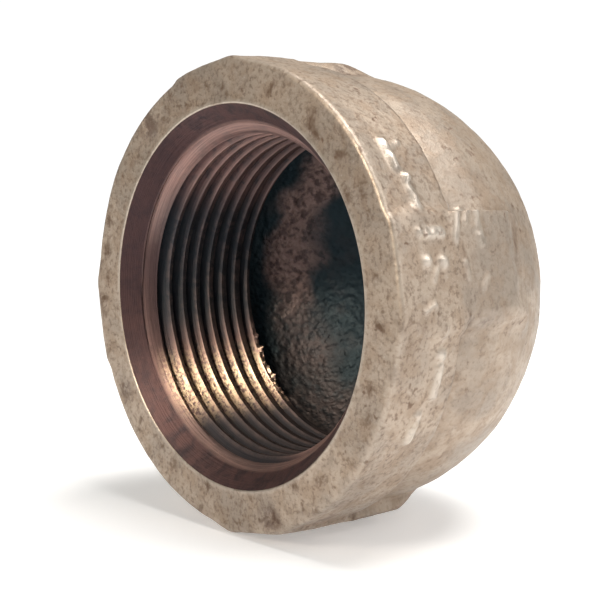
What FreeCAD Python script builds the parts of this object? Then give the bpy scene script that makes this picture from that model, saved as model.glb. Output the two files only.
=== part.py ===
import FreeCAD, Part
import math
import os
import re
import Sketcher
from FreeCAD import Placement, Rotation, Vector

# A galvanised malleable-iron pipe cap for 1-1/4 inch taper-threaded pipe, in millimetres.
# The cap's own axis is the Y axis. The middle of the flat mouth face is the origin, the
# mouth looks along -Y and the domed end points along +Y. Z is up and X is to the right,
# so the cap lies on its side. Angles round the axis run from +X towards +Z.

SIZES = (
    # alias, value, meaning
    ("pitch_line_radius", 19.776, "pitch line of the thread, in the plane of the mouth"),
    ("thread_pitch", 2.2087, "one turn of the thread, 11.5 turns to the inch"),
    ("thread_height", 1.767, "sharp-cornered depth of the thread, 0.8 of a turn"),
    ("thread_angle", 60.0, "angle between the flanks, degrees"),
    ("root_flat", 0.09, "flat at the bottom of the groove"),
    ("taper_angle", 1.7899, "taper of the thread to each side of the axis, degrees"),
    ("drill_allowance", 0.726, "from the pitch line in to the wall of the drilled bore"),
    ("thread_end", 19.0, "depth at which the bore breaks into the chamber"),
    ("flare", 3.35, "how much wider the mouth is than the bore, on the radius"),
    ("flare_depth", 2.36, "depth of the wide countersink"),
    ("lead_width", 1.41, "how much wider the inner countersink is than the bore, on the radius"),
    ("lead_depth", 1.95, "depth of the inner countersink"),
    ("face_width", 4.95, "width of the flat ring round the mouth"),
    ("band_length", 10.2, "length of the reinforcing band"),
    ("band_edge_radius", 0.7, "rounding of the band at the mouth"),
    ("band_back_radius", 1.0, "rounding of the band at its back"),
    ("waist_fillet", 0.5, "fillet between the band's back and the body"),
    ("band_step", 0.85, "how far the band stands out of the widest part of the body"),
    ("waist_depth", 1.2, "how far the body draws in behind the band"),
    ("dome_start", 17.0, "distance from the mouth to the body's widest part"),
    ("knuckle_radius", 20.5, "rounding between the body's side and the end of the dome"),
    ("crown_angle", 80.0, "where the knuckle meets the flatter crown, degrees"),
    ("wall", 3.7, "thickness of the casting round the chamber"),
    ("lug_count", 4, "wrench lugs round the band"),
    ("lug_clock", 10.0, "angle of the first lug, degrees"),
    ("lug_width", 11.4, "width of a lug"),
    ("lug_rise", 0.12, "how far the flat of a lug stands out of the band"),
    ("lug_length", 18.2, "length of the flat of a lug"),
    ("lug_slope", 30.0, "slope of the back of a lug, degrees"),
    ("lug_sink", 1.2, "how far the end of the slope is sunk into the body"),
    ("lug_root", 1.24, "from the mouth's edge out to a lug's hidden root"),
    ("lug_edge_radius", 0.7, "rounding of a lug's edges"),
    ("mark_height", 0.45, "how far the casting marks stand out of the band"),
    ("mark_width", 0.9, "width of a bar mark"),
    ("mark_length", 4.2, "length of a bar mark"),
    ("pip_radius", 0.75, "radius of a round mark"),
    ("mark_place", 5.2, "distance from the mouth to the middle of the row of marks"),
    ("mark_sink", 1.0, "how far a mark's own solid reaches down into the band"),
    ("coat", 0.09, "thickness of the zinc"),
    ("tool_clearance", 2.0, "how far a cutting tool runs past what it cuts"),
    ("thread_start", 1.2, "depth at which the groove begins, in the open countersink"),
    ("bore_overlap", 0.1, "how far the groove's section reaches into the open bore"),
)

# The row of casting marks on the band: bars and round pips, with no letters among them.
# Each entry gives the kind, its angle round the axis, how far it is turned from the
# direction of the axis and how far it lies from the middle of the row, along the axis.
MARKS = (
    ("bar", 37.0, 90.0, -1.3),
    ("bar", 27.5, 90.0, -0.4),
    ("bar", 17.5, 0.0, 0.2),
    ("pip", 11.5, 0.0, -0.9),
    ("pip", 11.0, 0.0, 1.6),
    ("pip", -4.0, 0.0, 1.0),
    ("pip", -9.5, 0.0, 1.4),
    ("bar", -15.5, 90.0, 1.5),
    ("bar", -27.0, 90.0, 0.0),
)

BORE = "(pitch_line_radius - drill_allowance)"
MOUTH = f"({BORE} + flare)"
BAND = f"({MOUTH} + face_width)"
BODY = f"({BAND} - band_step)"
LUG_FLAT = f"({BAND} + lug_rise)"
LUG_FOOT = f"({BODY} - lug_sink)"
LUG_ROOT = f"({MOUTH} + lug_root)"
KNUCKLE_X = f"({BODY} - knuckle_radius)"
WAIST_RUN = "(dome_start - band_length)"
WAIST_RADIUS = f"((waist_depth * waist_depth + {WAIST_RUN} * {WAIST_RUN}) / (2 * waist_depth))"

# How near two places count as one, in millimetres.
CLOSE = 1e-4

doc = FreeCAD.newDocument("pipe_cap")
sheet = doc.addObject("Spreadsheet::Sheet", "Sizes")
for row, (alias, number, meaning) in enumerate(SIZES, start=1):
    sheet.set(f"A{row}", alias)
    sheet.set(f"B{row}", str(number))
    sheet.set(f"C{row}", meaning)
    sheet.setAlias(f"B{row}", alias)
doc.recompute()

ALIAS = re.compile(r"\b(" + "|".join(alias for alias, number, meaning in SIZES) + r")\b")


def bound(text):
    """The expression as the other objects write it, with each size named on the sheet."""
    return ALIAS.sub(r"Sizes.\1", text)


def worth(text):
    """The value of an expression, as a plain number."""
    result = sheet.evalExpression(text)
    return float(getattr(result, "Value", result))


def pin(sketch, edge, end, across, along):
    """Hold one end of an edge at a place given by two expressions."""
    for kind, axis, text in (("DistanceX", -2, across), ("DistanceY", -1, along)):
        if text == "0":
            sketch.addConstraint(Sketcher.Constraint("PointOnObject", edge, end, axis))
            continue
        number = sketch.addConstraint(Sketcher.Constraint(kind, -1, 1, edge, end, worth(text)))
        sketch.setExpression(f"Constraints[{number}]", bound(text))


def draw(sketch, outline):
    """Draw a closed outline.

    Each corner is (across, along), and a corner reached by an arc adds the arc's centre
    and the sign of its turn, +1 counter-clockwise. All are expressions on the sheet.
    """
    spots = [Vector(worth(corner[0]), worth(corner[1]), 0) for corner in outline]
    for number, corner in enumerate(outline):
        start, end = spots[number - 1], spots[number]
        if len(corner) == 2:
            sketch.addGeometry(Part.LineSegment(start, end), False)
            continue
        centre = Vector(worth(corner[2]), worth(corner[3]), 0)
        radius = (start - centre).Length
        first, last = (start, end) if corner[4] > 0 else (end, start)
        circle = Part.Circle(centre, Vector(0, 0, 1), radius)
        angles = [math.atan2(spot.y - centre.y, spot.x - centre.x) for spot in (first, last)]
        if angles[1] < angles[0]:
            angles[1] += 2 * math.pi
        sketch.addGeometry(Part.ArcOfCircle(circle, *angles), False)
    ends = [(2, 1) if len(corner) == 5 and corner[4] < 0 else (1, 2) for corner in outline]
    for edge, corner in enumerate(outline):
        before = (edge - 1) % len(outline)
        sketch.addConstraint(
            Sketcher.Constraint("Coincident", before, ends[before][1], edge, ends[edge][0])
        )
        pin(sketch, edge, ends[edge][1], corner[0], corner[1])
        if len(corner) == 5:
            across = f"({outline[before][0]} - {corner[2]})"
            along = f"({outline[before][1]} - {corner[3]})"
            text = f"sqrt({across} * {across} + {along} * {along})"
            number = sketch.addConstraint(Sketcher.Constraint("Radius", edge, worth(text)))
            sketch.setExpression(f"Constraints[{number}]", bound(text))


def body_plane(body, role):
    """One of a body's own origin planes or axes."""
    return next(item for item in body.Origin.OriginFeatures if item.Role == role)


def body_sketch(body, name, role, outline):
    """A sketch of one closed outline on an origin plane of the body."""
    sketch = body.newObject("Sketcher::SketchObject", name)
    sketch.AttachmentSupport = [(body_plane(body, role), "")]
    sketch.MapMode = "FlatFace"
    draw(sketch, outline)
    return sketch


def turned(name, outline):
    """A body made by turning an outline, drawn to the right of the axis, a full turn."""
    body = doc.addObject("PartDesign::Body", name)
    sketch = body_sketch(body, f"{name}_outline", "XY_Plane", outline)
    turn = body.newObject("PartDesign::Revolution", f"{name}_turned")
    turn.Profile = sketch
    turn.ReferenceAxis = (sketch, ["V_Axis"])
    turn.Angle = 360.0
    sketch.Visibility = False
    doc.recompute()
    return body


def edges_where(shape, test):
    """The names of the edges whose middle passes a test."""
    names = []
    for number, edge in enumerate(shape.Edges, start=1):
        middle = edge.valueAt((edge.FirstParameter + edge.LastParameter) / 2)
        if test(middle):
            names.append(f"Edge{number}")
    return names


def dome_end(skin):
    """The knuckle and crown of a dome that lies the given depth under the zinc's surface."""
    knuckle = f"(knuckle_radius - {skin})"
    meet_across = f"({KNUCKLE_X} + {knuckle} * cos(crown_angle))"
    meet_along = f"(dome_start + {knuckle} * sin(crown_angle))"
    crown_centre = f"(dome_start - {KNUCKLE_X} * tan(crown_angle))"
    apex = f"({crown_centre} + {knuckle} + {KNUCKLE_X} / cos(crown_angle))"
    return (
        (meet_across, meet_along, KNUCKLE_X, "dome_start", 1),
        ("0", apex, "0", crown_centre, 1),
    )


def raw_blank(name, skin):
    """The rough casting before its lugs: band, waist, body and dome, solid inside."""
    edge_centre = f"({BAND} - band_edge_radius)"
    back_centre = f"({BAND} - band_back_radius)"
    back = f"(band_length - {skin})"
    waist_centre = f"({BODY} - {WAIST_RADIUS})"
    waist = f"({WAIST_RADIUS} - {skin})"
    drop = f"(dome_start - {back})"
    neck = f"({waist_centre} + sqrt({waist} * {waist} - {drop} * {drop}))"
    outline = (
        ("0", skin),
        (edge_centre, skin),
        (f"({BAND} - {skin})", "band_edge_radius", edge_centre, "band_edge_radius", 1),
        (f"({BAND} - {skin})", "(band_length - band_back_radius)"),
        (back_centre, back, back_centre, "(band_length - band_back_radius)", 1),
        (neck, back),
        (f"({BODY} - {skin})", "dome_start", waist_centre, "dome_start", 1),
        *dome_end(skin),
    )
    body = turned(name, outline)
    fillet = body.newObject("PartDesign::Fillet", f"{name}_waist")
    neck_radius, neck_along = worth(neck), worth(back)

    def at_neck(middle):
        radius = math.hypot(middle.x, middle.z)
        return abs(middle.y - neck_along) < CLOSE and abs(radius - neck_radius) < CLOSE

    turn = doc.getObject(f"{name}_turned")
    fillet.Base = (turn, edges_where(turn.Shape, at_neck))
    fillet.setExpression("Radius", bound(f"waist_fillet + {skin}"))
    body.Tip = fillet
    doc.recompute()
    return body


def lug(name, skin, number):
    """One wrench lug: a flat-topped rib along the band, with a sloping back."""
    flat = f"({LUG_FLAT} - {skin})"
    flat_end = f"(lug_length - {skin} * tan(lug_slope / 2))"
    foot_end = f"({flat_end} + ({flat} - {LUG_FOOT}) / tan(lug_slope))"
    outline = (
        (LUG_ROOT, skin),
        (flat, skin),
        (flat, flat_end),
        (LUG_FOOT, foot_end),
        (LUG_ROOT, foot_end),
    )
    body = doc.addObject("PartDesign::Body", name)
    sketch = body_sketch(body, f"{name}_side", "XY_Plane", outline)
    pad = body.newObject("PartDesign::Pad", f"{name}_rib")
    pad.Profile = sketch
    pad.SideType = "Symmetric"
    pad.setExpression("Length", bound(f"lug_width - 2 * {skin}"))
    sketch.Visibility = False
    doc.recompute()
    half_way_down = (worth(flat) + worth(LUG_FOOT)) / 2

    def on_flat_or_slope(middle):
        return middle.x > half_way_down - CLOSE

    fillet = body.newObject("PartDesign::Fillet", f"{name}_rounding")
    fillet.Base = (pad, edges_where(pad.Shape, on_flat_or_slope))
    fillet.setExpression("Radius", bound(f"lug_edge_radius - {skin}"))
    body.Tip = fillet
    clock = f"(lug_clock + {number} * 360 / lug_count)"
    body.Placement = Placement(Vector(), Rotation(Vector(0, -1, 0), worth(clock)))
    body.setExpression("Placement.Rotation.Angle", bound(f"{clock} * 1 deg"))
    doc.recompute()
    return body


def mark(name, skin, kind, clock, turn, offset):
    """One raised casting mark, sunk into the band below its outer surface."""
    foot = worth(f"{BAND} - mark_sink")
    if kind == "bar":
        solid = doc.addObject("Part::Box", name)
        solid.setExpression("Length", bound(f"mark_sink + lug_rise + mark_height - {skin}"))
        solid.setExpression("Width", bound(f"mark_length - 2 * {skin}"))
        solid.setExpression("Height", bound(f"mark_width - 2 * {skin}"))
        corner = Vector(foot, worth(f"{skin} - mark_length / 2"), worth(f"{skin} - mark_width / 2"))
        inward = Placement(corner, Rotation())
    else:
        solid = doc.addObject("Part::Cylinder", name)
        solid.setExpression("Height", bound(f"mark_sink + lug_rise + mark_height - {skin}"))
        solid.setExpression("Radius", bound(f"pip_radius - {skin}"))
        inward = Placement(Vector(foot, 0, 0), Rotation(Vector(0, 1, 0), 90))
    turned_on_band = Placement(Vector(), Rotation(Vector(1, 0, 0), turn))
    along = Placement(Vector(0, worth(f"mark_place + {offset}"), 0), Rotation())
    round_axis = Placement(Vector(), Rotation(Vector(0, -1, 0), clock))
    solid.Placement = round_axis.multiply(along).multiply(turned_on_band).multiply(inward)
    return solid


def raw_casting(name, skin):
    """The casting as it leaves the mould, solid inside, down to the given depth of skin."""
    pieces = [raw_blank(f"{name}_blank", skin)]
    for number in range(round(worth("lug_count"))):
        pieces.append(lug(f"{name}_lug_{number + 1}", skin, number))
    for number, entry in enumerate(MARKS, start=1):
        pieces.append(mark(f"{name}_mark_{number}", skin, *entry))
    whole = doc.addObject("Part::MultiFuse", name)
    whole.Shapes = pieces
    doc.recompute()
    return whole


def core(name, skin):
    """The space inside the casting, down to the given depth under the outside."""
    side = f"({BODY} - {skin})"
    outline = (("0", "0"), (side, "0"), (side, "dome_start"), *dome_end(skin))
    return turned(name, outline)


def chamber(name, skin, start):
    """The part of the core that lies behind the bore, from the given depth on."""
    block = doc.addObject("Part::Cylinder", f"{name}_depth")
    block.setExpression("Radius", bound(BAND))
    block.setExpression("Height", bound("dome_start + knuckle_radius"))
    block.Placement = Placement(Vector(0, worth(start), 0), Rotation(Vector(1, 0, 0), -90))
    inside = core(f"{name}_core", skin)
    hollow = doc.addObject("Part::MultiCommon", name)
    hollow.Shapes = [inside, block]
    doc.recompute()
    return hollow


def machining():
    """What the countersinks and the tapping drill take away."""
    lead_radius = f"({BORE} + lead_width)"
    lead_end = "(flare_depth + lead_depth)"
    slope = f"(({MOUTH} - {lead_radius}) / flare_depth)"
    outside = f"({MOUTH} + {slope} * tool_clearance)"
    outline = (
        ("0", "0 - tool_clearance"),
        (outside, "0 - tool_clearance"),
        (lead_radius, "flare_depth"),
        (BORE, lead_end),
        (BORE, "(thread_end + tool_clearance)"),
        ("0", "(thread_end + tool_clearance)"),
    )
    return turned("countersink_and_drill", outline)


def tap():
    """The spiral groove that the taper tap cuts, as one solid that the cut removes."""
    deep = "(thread_end + thread_pitch)"
    deep_pitch_line = f"(pitch_line_radius - {deep} * tan(taper_angle))"
    root = f"({deep_pitch_line} + thread_height / 2)"
    inner = f"({BORE} - bore_overlap - {deep} * tan(taper_angle))"
    half_root = "(root_flat / 2)"
    half_inner = f"({half_root} + ({root} - {inner}) * tan(thread_angle / 2))"
    section = doc.addObject("Sketcher::SketchObject", "groove_section")
    draw(section, (
        (inner, f"({deep} - {half_inner})"),
        (root, f"({deep} - {half_root})"),
        (root, f"({deep} + {half_root})"),
        (inner, f"({deep} + {half_inner})"),
    ))
    spiral = doc.addObject("Part::Helix", "groove_spiral")
    spiral.setExpression("Pitch", bound("thread_pitch"))
    spiral.setExpression("Height", bound(f"{deep} - thread_start"))
    spiral.setExpression("Radius", bound(deep_pitch_line))
    spiral.setExpression("Angle", bound("taper_angle"))
    spiral.SegmentLength = 1
    spiral.Placement = Placement(Vector(0, worth(deep), 0), Rotation(Vector(1, 0, 0), 90))
    doc.recompute()
    turns = [f"Edge{number}" for number in range(1, len(spiral.Shape.Edges) + 1)]
    groove = doc.addObject("Part::Sweep", "tapped_groove")
    groove.Sections = [section]
    groove.Spine = (spiral, turns)
    groove.Solid = True
    groove.Frenet = True
    doc.recompute()
    return groove


def cut_away(name, base, tool):
    """What is left of a base when a tool has cut it."""
    left = doc.addObject("Part::Cut", name)
    left.Base = base
    left.Tool = tool
    doc.recompute()
    return left


NO_SKIN = "0"
IRON_SKIN = "coat"
CHAMBER_IRON = "wall"
CHAMBER_ZINC = "(wall + coat)"

zinc_outside = raw_casting("dipped_outside", NO_SKIN)
iron_outside = raw_casting("iron_outside", IRON_SKIN)
iron_chamber = chamber("iron_chamber", CHAMBER_IRON, "thread_end")
zinc_chamber = chamber("dipped_chamber", CHAMBER_ZINC, "(thread_end + coat)")
drilled = machining()
tapped = tap()

hollow_casting = cut_away("hollow_casting", iron_outside, iron_chamber)
drilled_casting = cut_away("drilled_casting", hollow_casting, drilled)
cap_casting = cut_away("cap_casting", drilled_casting, tapped)
outside_shell = cut_away("outside_shell", zinc_outside, iron_outside)
zinc_coat_outside = cut_away("zinc_coat_outside", outside_shell, drilled)
chamber_shell = cut_away("chamber_shell", iron_chamber, zinc_chamber)
open_shell = cut_away("open_shell", chamber_shell, drilled)
zinc_coat_chamber = cut_away("zinc_coat_chamber", open_shell, tapped)

for item in doc.Objects:
    if "Invalid" in item.State or "Error" in item.State:
        raise RuntimeError(f"{item.Label} failed: {item.State}")

os.makedirs("parts", exist_ok=True)
for node in (cap_casting, zinc_coat_outside, zinc_coat_chamber):
    shape = node.Shape
    if shape.isNull() or not shape.isValid():
        raise RuntimeError(f"{node.Label} has no sound shape")
    print(f"{node.Label}: {len(shape.Solids)} solid, {shape.Volume:.1f} cubic mm, {shape.BoundBox}")
    shape.exportStep(f"parts/{node.Label}.step")
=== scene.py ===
"""A galvanised malleable-iron pipe cap, lying on its side, with its mouth towards the viewer.

Sizes in the classes are in millimetres in the cap's own frame: its axis is Y, the mouth
face is at y = 0 and the dome points along +Y. Meshes are written in metres.
"""
import logging
import math
from dataclasses import dataclass, field
from enum import Enum
from typing import Any, Sequence

import bpy
import numpy as np
from mathutils import Matrix, Vector


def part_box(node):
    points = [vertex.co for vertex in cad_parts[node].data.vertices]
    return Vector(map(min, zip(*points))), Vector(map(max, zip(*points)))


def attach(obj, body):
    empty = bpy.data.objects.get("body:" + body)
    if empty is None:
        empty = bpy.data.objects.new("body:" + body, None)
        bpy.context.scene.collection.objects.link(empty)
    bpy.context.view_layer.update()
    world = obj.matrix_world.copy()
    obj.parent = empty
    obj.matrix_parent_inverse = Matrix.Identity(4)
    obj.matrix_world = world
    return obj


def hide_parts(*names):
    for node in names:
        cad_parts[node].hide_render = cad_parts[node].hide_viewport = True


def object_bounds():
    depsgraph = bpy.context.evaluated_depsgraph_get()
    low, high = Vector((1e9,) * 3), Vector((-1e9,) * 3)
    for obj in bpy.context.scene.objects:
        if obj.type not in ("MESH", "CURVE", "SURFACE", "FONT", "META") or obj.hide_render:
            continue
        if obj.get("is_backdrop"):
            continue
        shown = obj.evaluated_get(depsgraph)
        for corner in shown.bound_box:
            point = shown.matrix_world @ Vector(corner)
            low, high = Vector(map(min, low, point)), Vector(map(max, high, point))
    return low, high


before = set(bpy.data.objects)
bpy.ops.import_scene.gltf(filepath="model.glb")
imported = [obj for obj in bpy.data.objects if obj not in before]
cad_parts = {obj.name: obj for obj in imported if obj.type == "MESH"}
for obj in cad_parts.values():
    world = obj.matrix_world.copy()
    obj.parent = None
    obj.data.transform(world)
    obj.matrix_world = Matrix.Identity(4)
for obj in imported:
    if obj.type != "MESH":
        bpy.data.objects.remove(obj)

LOG = logging.getLogger("pipe_cap")
MILLIMETRE = 0.001
COARSE_STEP = 4
Array = np.ndarray


# ---------------------------------------------------------------- mesh helpers


def smooth_step(value: Array, low: float, high: float) -> Array:
    """Rise from 0 to 1 between two values, level at both ends: 3t^2 - 2t^3.

    Args:
        value: what is measured.
        low: where the rise starts.
        high: where it ends.

    Returns:
        The rise, between 0 and 1.
    """
    t = np.clip((value - low) / (high - low), 0.0, 1.0)
    return t * t * (3.0 - 2.0 * t)


def soft_max(first: Array, second: Array, blend: float | Array) -> Array:
    """The larger of two values, rounded where they meet: max(a, b) + k h^2 / 4.

    Here h is how much nearer than k the two values are, as a share of k.

    Args:
        first: one value.
        second: the other.
        blend: k, the width of the rounding.

    Returns:
        The blended larger value.
    """
    near = np.maximum(blend - np.abs(first - second), 0.0) / blend
    return np.maximum(first, second) + near**2 * blend / 4.0


def soft_min(first: Array, second: Array, blend: float | Array) -> Array:
    """The smaller of two values, rounded where they meet, as soft_max upside down."""
    return -soft_max(-first, -second, blend)


@dataclass(frozen=True)
class Lumps:
    """A smooth random field: a sum of sine waves in random directions."""

    seed: int
    wavelength: float
    waves: int = 28

    def at(self, points: Array) -> Array:
        """The field's height: the mean of sin(k . p + phase), scaled to about -1 to 1.

        Args:
            points: places in millimetres, shape (..., 3).

        Returns:
            One height for each place.
        """
        draw = np.random.default_rng(self.seed)
        directions = draw.normal(size=(self.waves, 3))
        directions /= np.linalg.norm(directions, axis=1)[:, None]
        lengths = self.wavelength * draw.uniform(0.7, 1.6, size=self.waves)
        phases = draw.uniform(0.0, 2.0 * math.pi, size=self.waves)
        total = np.zeros(points.shape[:-1])
        for direction, length, phase in zip(directions, lengths, phases):
            total += np.sin(points @ direction * (2.0 * math.pi / length) + phase)
        return total / math.sqrt(self.waves / 2.0) / 1.6


def ring_angles(columns: int, busy: Sequence[tuple[float, float, float]] = ()) -> Array:
    """Angles of the columns of a closed grid, from +X towards +Z.

    They are spaced in inverse proportion to a density, which is 1 and rises over busy spans.

    Args:
        columns: how many there are.
        busy: spans as (middle, half width, extra density), with angles in degrees.

    Returns:
        The angles, in radians.
    """
    fine = np.linspace(0.0, 2.0 * math.pi, 7201)
    density = np.ones_like(fine)
    for middle, half, extra in busy:
        away = np.abs(wrap(fine - math.radians(middle), 2.0 * math.pi))
        density += extra * (1.0 - smooth_step(away, 0.7 * math.radians(half), math.radians(half)))
    total = np.concatenate([[0.0], np.cumsum(0.5 * (density[1:] + density[:-1]))])
    return np.interp(np.arange(columns) / columns, total / total[-1], fine)


def even_angles(columns: int) -> Array:
    """Evenly spaced angles of the columns of a closed grid, in radians."""
    return np.arange(columns) * (2.0 * math.pi / columns)


def wrap(value: Array, period: float) -> Array:
    """The value brought to within half a period of 0."""
    return (value + 0.5 * period) % period - 0.5 * period


def bell(distance: Array, width: float) -> Array:
    """A bell about 0: exp(-(distance / width)^2)."""
    return np.exp(-((distance / width) ** 2))


@dataclass(frozen=True)
class Sector:
    """A stretch round the axis that fades out at both ends, in degrees."""

    middle: float
    core: float
    reach: float

    def at(self, angle: Array) -> Array:
        """How much angles in radians are in it: 1 up to the core, falling to 0 at the reach."""
        away = np.abs(wrap(angle - math.radians(self.middle), 2.0 * math.pi))
        return 1.0 - smooth_step(away, math.radians(self.core), math.radians(self.reach))


def polar(radius: Array, along: Array, angle: Array) -> Array:
    """Points from (radius, y, angle): (r cos a, y, r sin a).

    Args:
        radius: distance from the axis.
        along: distance behind the mouth face.
        angle: angle from +X towards +Z.

    Returns:
        Points, with a last axis of 3.
    """
    radius, along, angle = np.broadcast_arrays(radius, along, angle)
    return np.stack([radius * np.cos(angle), along, radius * np.sin(angle)], axis=-1)


def grid_normals(points: Array) -> Array:
    """Unit normals of a grid that closes on itself across its columns.

    The normal is the cross product of the differences along the rows and the columns.

    Args:
        points: a grid of shape (rows, columns, 3).

    Returns:
        Unit normals of the same shape.
    """
    across = np.roll(points, -1, axis=1) - np.roll(points, 1, axis=1)
    along = np.gradient(points, axis=0)
    normal = np.cross(along, across)
    length = np.linalg.norm(normal, axis=-1, keepdims=True)
    return normal / np.maximum(length, 1e-12)


@dataclass
class Shell:
    """Vertices and faces gathered for one mesh."""

    points: list[Array] = field(default_factory=list)
    faces: list[Array] = field(default_factory=list)
    count: int = 0

    def add(self, points: Array) -> Array:
        """Add points and return their numbers, in the same shape.

        Args:
            points: shape (..., 3), in millimetres.

        Returns:
            The number of each point in the mesh.
        """
        flat = points.reshape(-1, 3)
        numbers = self.count + np.arange(len(flat)).reshape(points.shape[:-1])
        self.points.append(flat)
        self.count += len(flat)
        return numbers

    def grid(self, numbers: Array) -> None:
        """Join a grid's rows with quads that close across the columns."""
        nxt = np.roll(numbers, -1, axis=1)
        quads = np.stack([numbers[:-1], numbers[1:], nxt[1:], nxt[:-1]], axis=-1)
        self.faces.append(quads.reshape(-1, 4))

    def pole(self, ring: Array, tip: Array, outward: bool) -> None:
        """Close a ring to one point with a fan of triangles.

        Args:
            ring: the numbers of the ring's points.
            tip: the place of the pole, shape (3,).
            outward: whether the fan comes after the ring in the grid's order of rows.
        """
        centre = int(self.add(tip[None, :])[0])
        nxt = np.roll(ring, -1)
        middle = np.full_like(ring, centre)
        fan = [ring, middle, nxt] if outward else [ring, nxt, middle]
        self.faces.append(np.stack(fan, axis=-1))

    def reduce(self, fine: Array, coarse: Array, fine_first: bool) -> None:
        """Join a fine ring to a coarse one with one polygon for each coarse step.

        Args:
            fine: the fine ring's numbers.
            coarse: the coarse ring's numbers, one for every COARSE_STEP of the fine.
            fine_first: whether the fine ring comes first in the order of rows.
        """
        index = np.arange(len(coarse)) * COARSE_STEP
        steps = [fine[(index + k) % len(fine)] for k in range(COARSE_STEP + 1)]
        polygon = [coarse, np.roll(coarse, -1), *steps[::-1]]
        faces = np.stack(polygon, axis=-1)
        self.faces.append(faces if fine_first else faces[:, ::-1])

    def build(self, name: str, merge: float = 0.0) -> bpy.types.Object:
        """Write the mesh and return its object.

        Args:
            name: the name of the object and its mesh.
            merge: the distance in millimetres within which points count as one, or 0.

        Returns:
            The new object, at the origin, smooth shaded.
        """
        points = np.concatenate(self.points)
        faces = self.faces
        if merge > 0.0:
            keys = np.round(points / merge).astype(np.int64)
            _, first, same = np.unique(keys, axis=0, return_index=True, return_inverse=True)
            points = points[first]
            same = same.reshape(-1)
            faces = [tidy_faces(same[block]) for block in faces]
            faces = [block for group in faces for block in group if len(block)]
        return mesh_object(name, points * MILLIMETRE, faces)


def tidy_faces(block: Array) -> list[Array]:
    """Drop faces that merging has flattened, and turn pinched quads into triangles.

    Args:
        block: faces of one length, as numbers of points.

    Returns:
        Blocks of sound faces.
    """
    same = block == np.roll(block, -1, axis=1)
    kept = [block[~same.any(axis=1)]]
    if block.shape[1] == 4:
        for side in range(4):
            once = same[:, side] & (same.sum(axis=1) == 1)
            corners = [corner for corner in range(4) if corner != side]
            kept.append(block[once][:, corners])
    return kept


def mesh_object(name: str, points: Array, blocks: Sequence[Array]) -> bpy.types.Object:
    """Make an object from points and blocks of faces.

    Args:
        name: the name of the object and its mesh.
        points: places in metres, shape (n, 3).
        blocks: arrays of faces, each with faces of one length.

    Returns:
        The new object, smooth shaded and linked to the scene.
    """
    mesh = bpy.data.meshes.new(name)
    loops = np.concatenate([block.reshape(-1) for block in blocks]).astype(np.int32)
    sizes = np.concatenate([np.full(len(block), block.shape[1]) for block in blocks])
    starts = np.concatenate([[0], np.cumsum(sizes)[:-1]]).astype(np.int32)
    mesh.vertices.add(len(points))
    mesh.vertices.foreach_set("co", points.astype(np.float32).reshape(-1))
    mesh.loops.add(len(loops))
    mesh.loops.foreach_set("vertex_index", loops)
    mesh.polygons.add(len(sizes))
    mesh.polygons.foreach_set("loop_start", starts)
    mesh.update(calc_edges=True)
    mesh.validate()
    mesh.shade_smooth()
    made = bpy.data.objects.new(name, mesh)
    bpy.context.scene.collection.objects.link(made)
    return made


def set_attribute(thing: bpy.types.Object, name: str, values: Array) -> None:
    """Store one number for each point of a mesh, for its finish to read.

    Args:
        thing: the object.
        name: the attribute's name.
        values: one number for each point.
    """
    layer = thing.data.attributes.new(name, "FLOAT", "POINT")
    layer.data.foreach_set("value", values.astype(np.float32).reshape(-1))


def arc(across: float, along: float, radius: float, span: tuple[float, float], count: int) -> Array:
    """Points on an arc, without its last: centre + radius (cos a, sin a).

    Args:
        across: the centre's distance from the axis.
        along: the centre's distance behind the mouth face.
        radius: the arc's radius.
        span: the first and last angles in degrees, from the outward direction.
        count: how many points.

    Returns:
        Points (distance from the axis, distance behind the mouth), shape (count, 2).
    """
    angle = np.radians(np.linspace(*span, count, endpoint=False))
    return np.stack([across + radius * np.cos(angle), along + radius * np.sin(angle)], axis=1)


def run(start: tuple[float, float], end: tuple[float, float], count: int) -> Array:
    """Evenly spaced points on a straight run, without its last."""
    return np.linspace(start, end, count, endpoint=False)


# ---------------------------------------------------------------- the cap's form


class RidgeKind(Enum):
    """The kinds of raised ridge: half length of the spine, half width and height."""

    BAR = (1.6, 0.62, 0.45)
    PIP = (0.0, 0.78, 0.45)
    RUN = (2.1, 0.5, 0.3)
    DRIP = (0.8, 0.4, 0.22)


@dataclass(frozen=True)
class Ridge:
    """A casting mark on the band, or a run or drip of zinc.

    It has its angle round the axis, its turn from the axis's direction, both in degrees,
    and its depth behind the mouth face.
    """

    kind: RidgeKind
    clock: float
    turn: float
    depth: float


RIDGES = (
    Ridge(RidgeKind.BAR, 37.0, 90.0, 3.9),
    Ridge(RidgeKind.BAR, 27.5, 90.0, 4.8),
    Ridge(RidgeKind.BAR, 17.5, 0.0, 5.4),
    Ridge(RidgeKind.PIP, 11.5, 0.0, 4.3),
    Ridge(RidgeKind.PIP, 11.0, 0.0, 6.8),
    Ridge(RidgeKind.PIP, -4.0, 0.0, 6.2),
    Ridge(RidgeKind.PIP, -9.5, 0.0, 6.6),
    Ridge(RidgeKind.BAR, -15.5, 90.0, 6.7),
    Ridge(RidgeKind.BAR, -27.0, 90.0, 5.2),
    Ridge(RidgeKind.DRIP, 39.5, 30.0, 5.4),
    Ridge(RidgeKind.DRIP, 8.5, 60.0, 5.6),
    Ridge(RidgeKind.DRIP, 1.5, 20.0, 4.2),
    Ridge(RidgeKind.RUN, 20.0, 75.0, 9.7),
    Ridge(RidgeKind.RUN, 19.2, 96.0, 13.0),
    Ridge(RidgeKind.DRIP, 21.0, 60.0, 11.4),
    Ridge(RidgeKind.DRIP, 6.0, 54.0, 13.3),
    Ridge(RidgeKind.DRIP, 9.0, 96.0, 10.4),
    Ridge(RidgeKind.DRIP, -3.0, 88.0, 10.2),
)


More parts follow.
